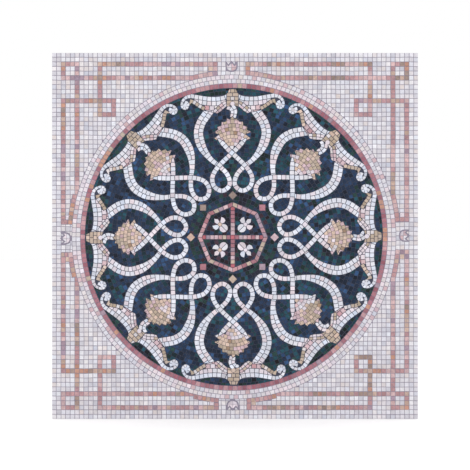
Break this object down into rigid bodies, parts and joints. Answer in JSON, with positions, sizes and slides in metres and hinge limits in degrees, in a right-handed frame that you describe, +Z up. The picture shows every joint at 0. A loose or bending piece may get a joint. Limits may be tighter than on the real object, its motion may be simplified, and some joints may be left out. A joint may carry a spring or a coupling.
{
  "type": "mosaic panel",
  "caption": "Square stone mosaic panel: a round dark medallion of knotted white scrolls, leaves and buds in a cream field with a rose interlaced border line.",
  "frame": {"origin": "middle of the flat mortar back, where the panel is bedded", "axes": "+Y out of the back, so the mosaic face looks along -Y; +Z up along the panel; +X to the right seen from the front"},
  "size_m": [0.9, 0.02, 0.9],
  "materials": {
    "mortar": "lime mortar, floated flat at the back",
    "cream_stone": "honed limestone, slightly worn",
    "rose_stone": "honed rose, mauve and brown marble",
    "dark_stone": "honed blue-black, blue and green-black stone",
    "white_marble": "honed white marble",
    "gold_stone": "honed yellow and tan marble",
    "blush_stone": "honed pale pink marble",
    "salmon_stone": "honed salmon-pink marble"
  },
  "bodies": {
    "root": {"mortar_bed": "mortar", "cream_field": "cream_stone", "cream_ring": "cream_stone", "red_ring": "rose_stone", "border_line_top_left": "rose_stone", "border_line_top_right": "rose_stone", "border_line_bottom_right": "rose_stone", "border_line_bottom_left": "rose_stone", "side_bud_top": "blush_stone", "side_bud_right": "blush_stone", "side_bud_bottom": "blush_stone", "side_bud_left": "blush_stone", "medallion_ground": "dark_stone", "scroll_1": "white_marble", "palmette_1": "white_marble", "stem_1": "white_marble", "bud_1": "gold_stone", "small_square_1": "blush_stone", "scroll_2": "white_marble", "palmette_2": "white_marble", "stem_2": "white_marble", "bud_2": "gold_stone", "small_square_2": "blush_stone", "scroll_3": "white_marble", "palmette_3": "white_marble", "stem_3": "white_marble", "bud_3": "gold_stone", "small_square_3": "blush_stone", "scroll_4": "white_marble", "palmette_4": "white_marble", "stem_4": "white_marble", "bud_4": "gold_stone", "small_square_4": "blush_stone", "scroll_5": "white_marble", "palmette_5": "white_marble", "stem_5": "white_marble", "bud_5": "gold_stone", "small_square_5": "blush_stone", "scroll_6": "white_marble", "palmette_6": "white_marble", "stem_6": "white_marble", "bud_6": "gold_stone", "small_square_6": "blush_stone", "scroll_7": "white_marble", "palmette_7": "white_marble", "stem_7": "white_marble", "bud_7": "gold_stone", "small_square_7": "blush_stone", "scroll_8": "white_marble", "palmette_8": "white_marble", "stem_8": "white_marble", "bud_8": "gold_stone", "small_square_8": "blush_stone", "octagon_cross": "salmon_stone", "flower_1": "white_marble", "flower_2": "white_marble", "flower_3": "white_marble", "flower_4": "white_marble"}
  },
  "joints": []
}
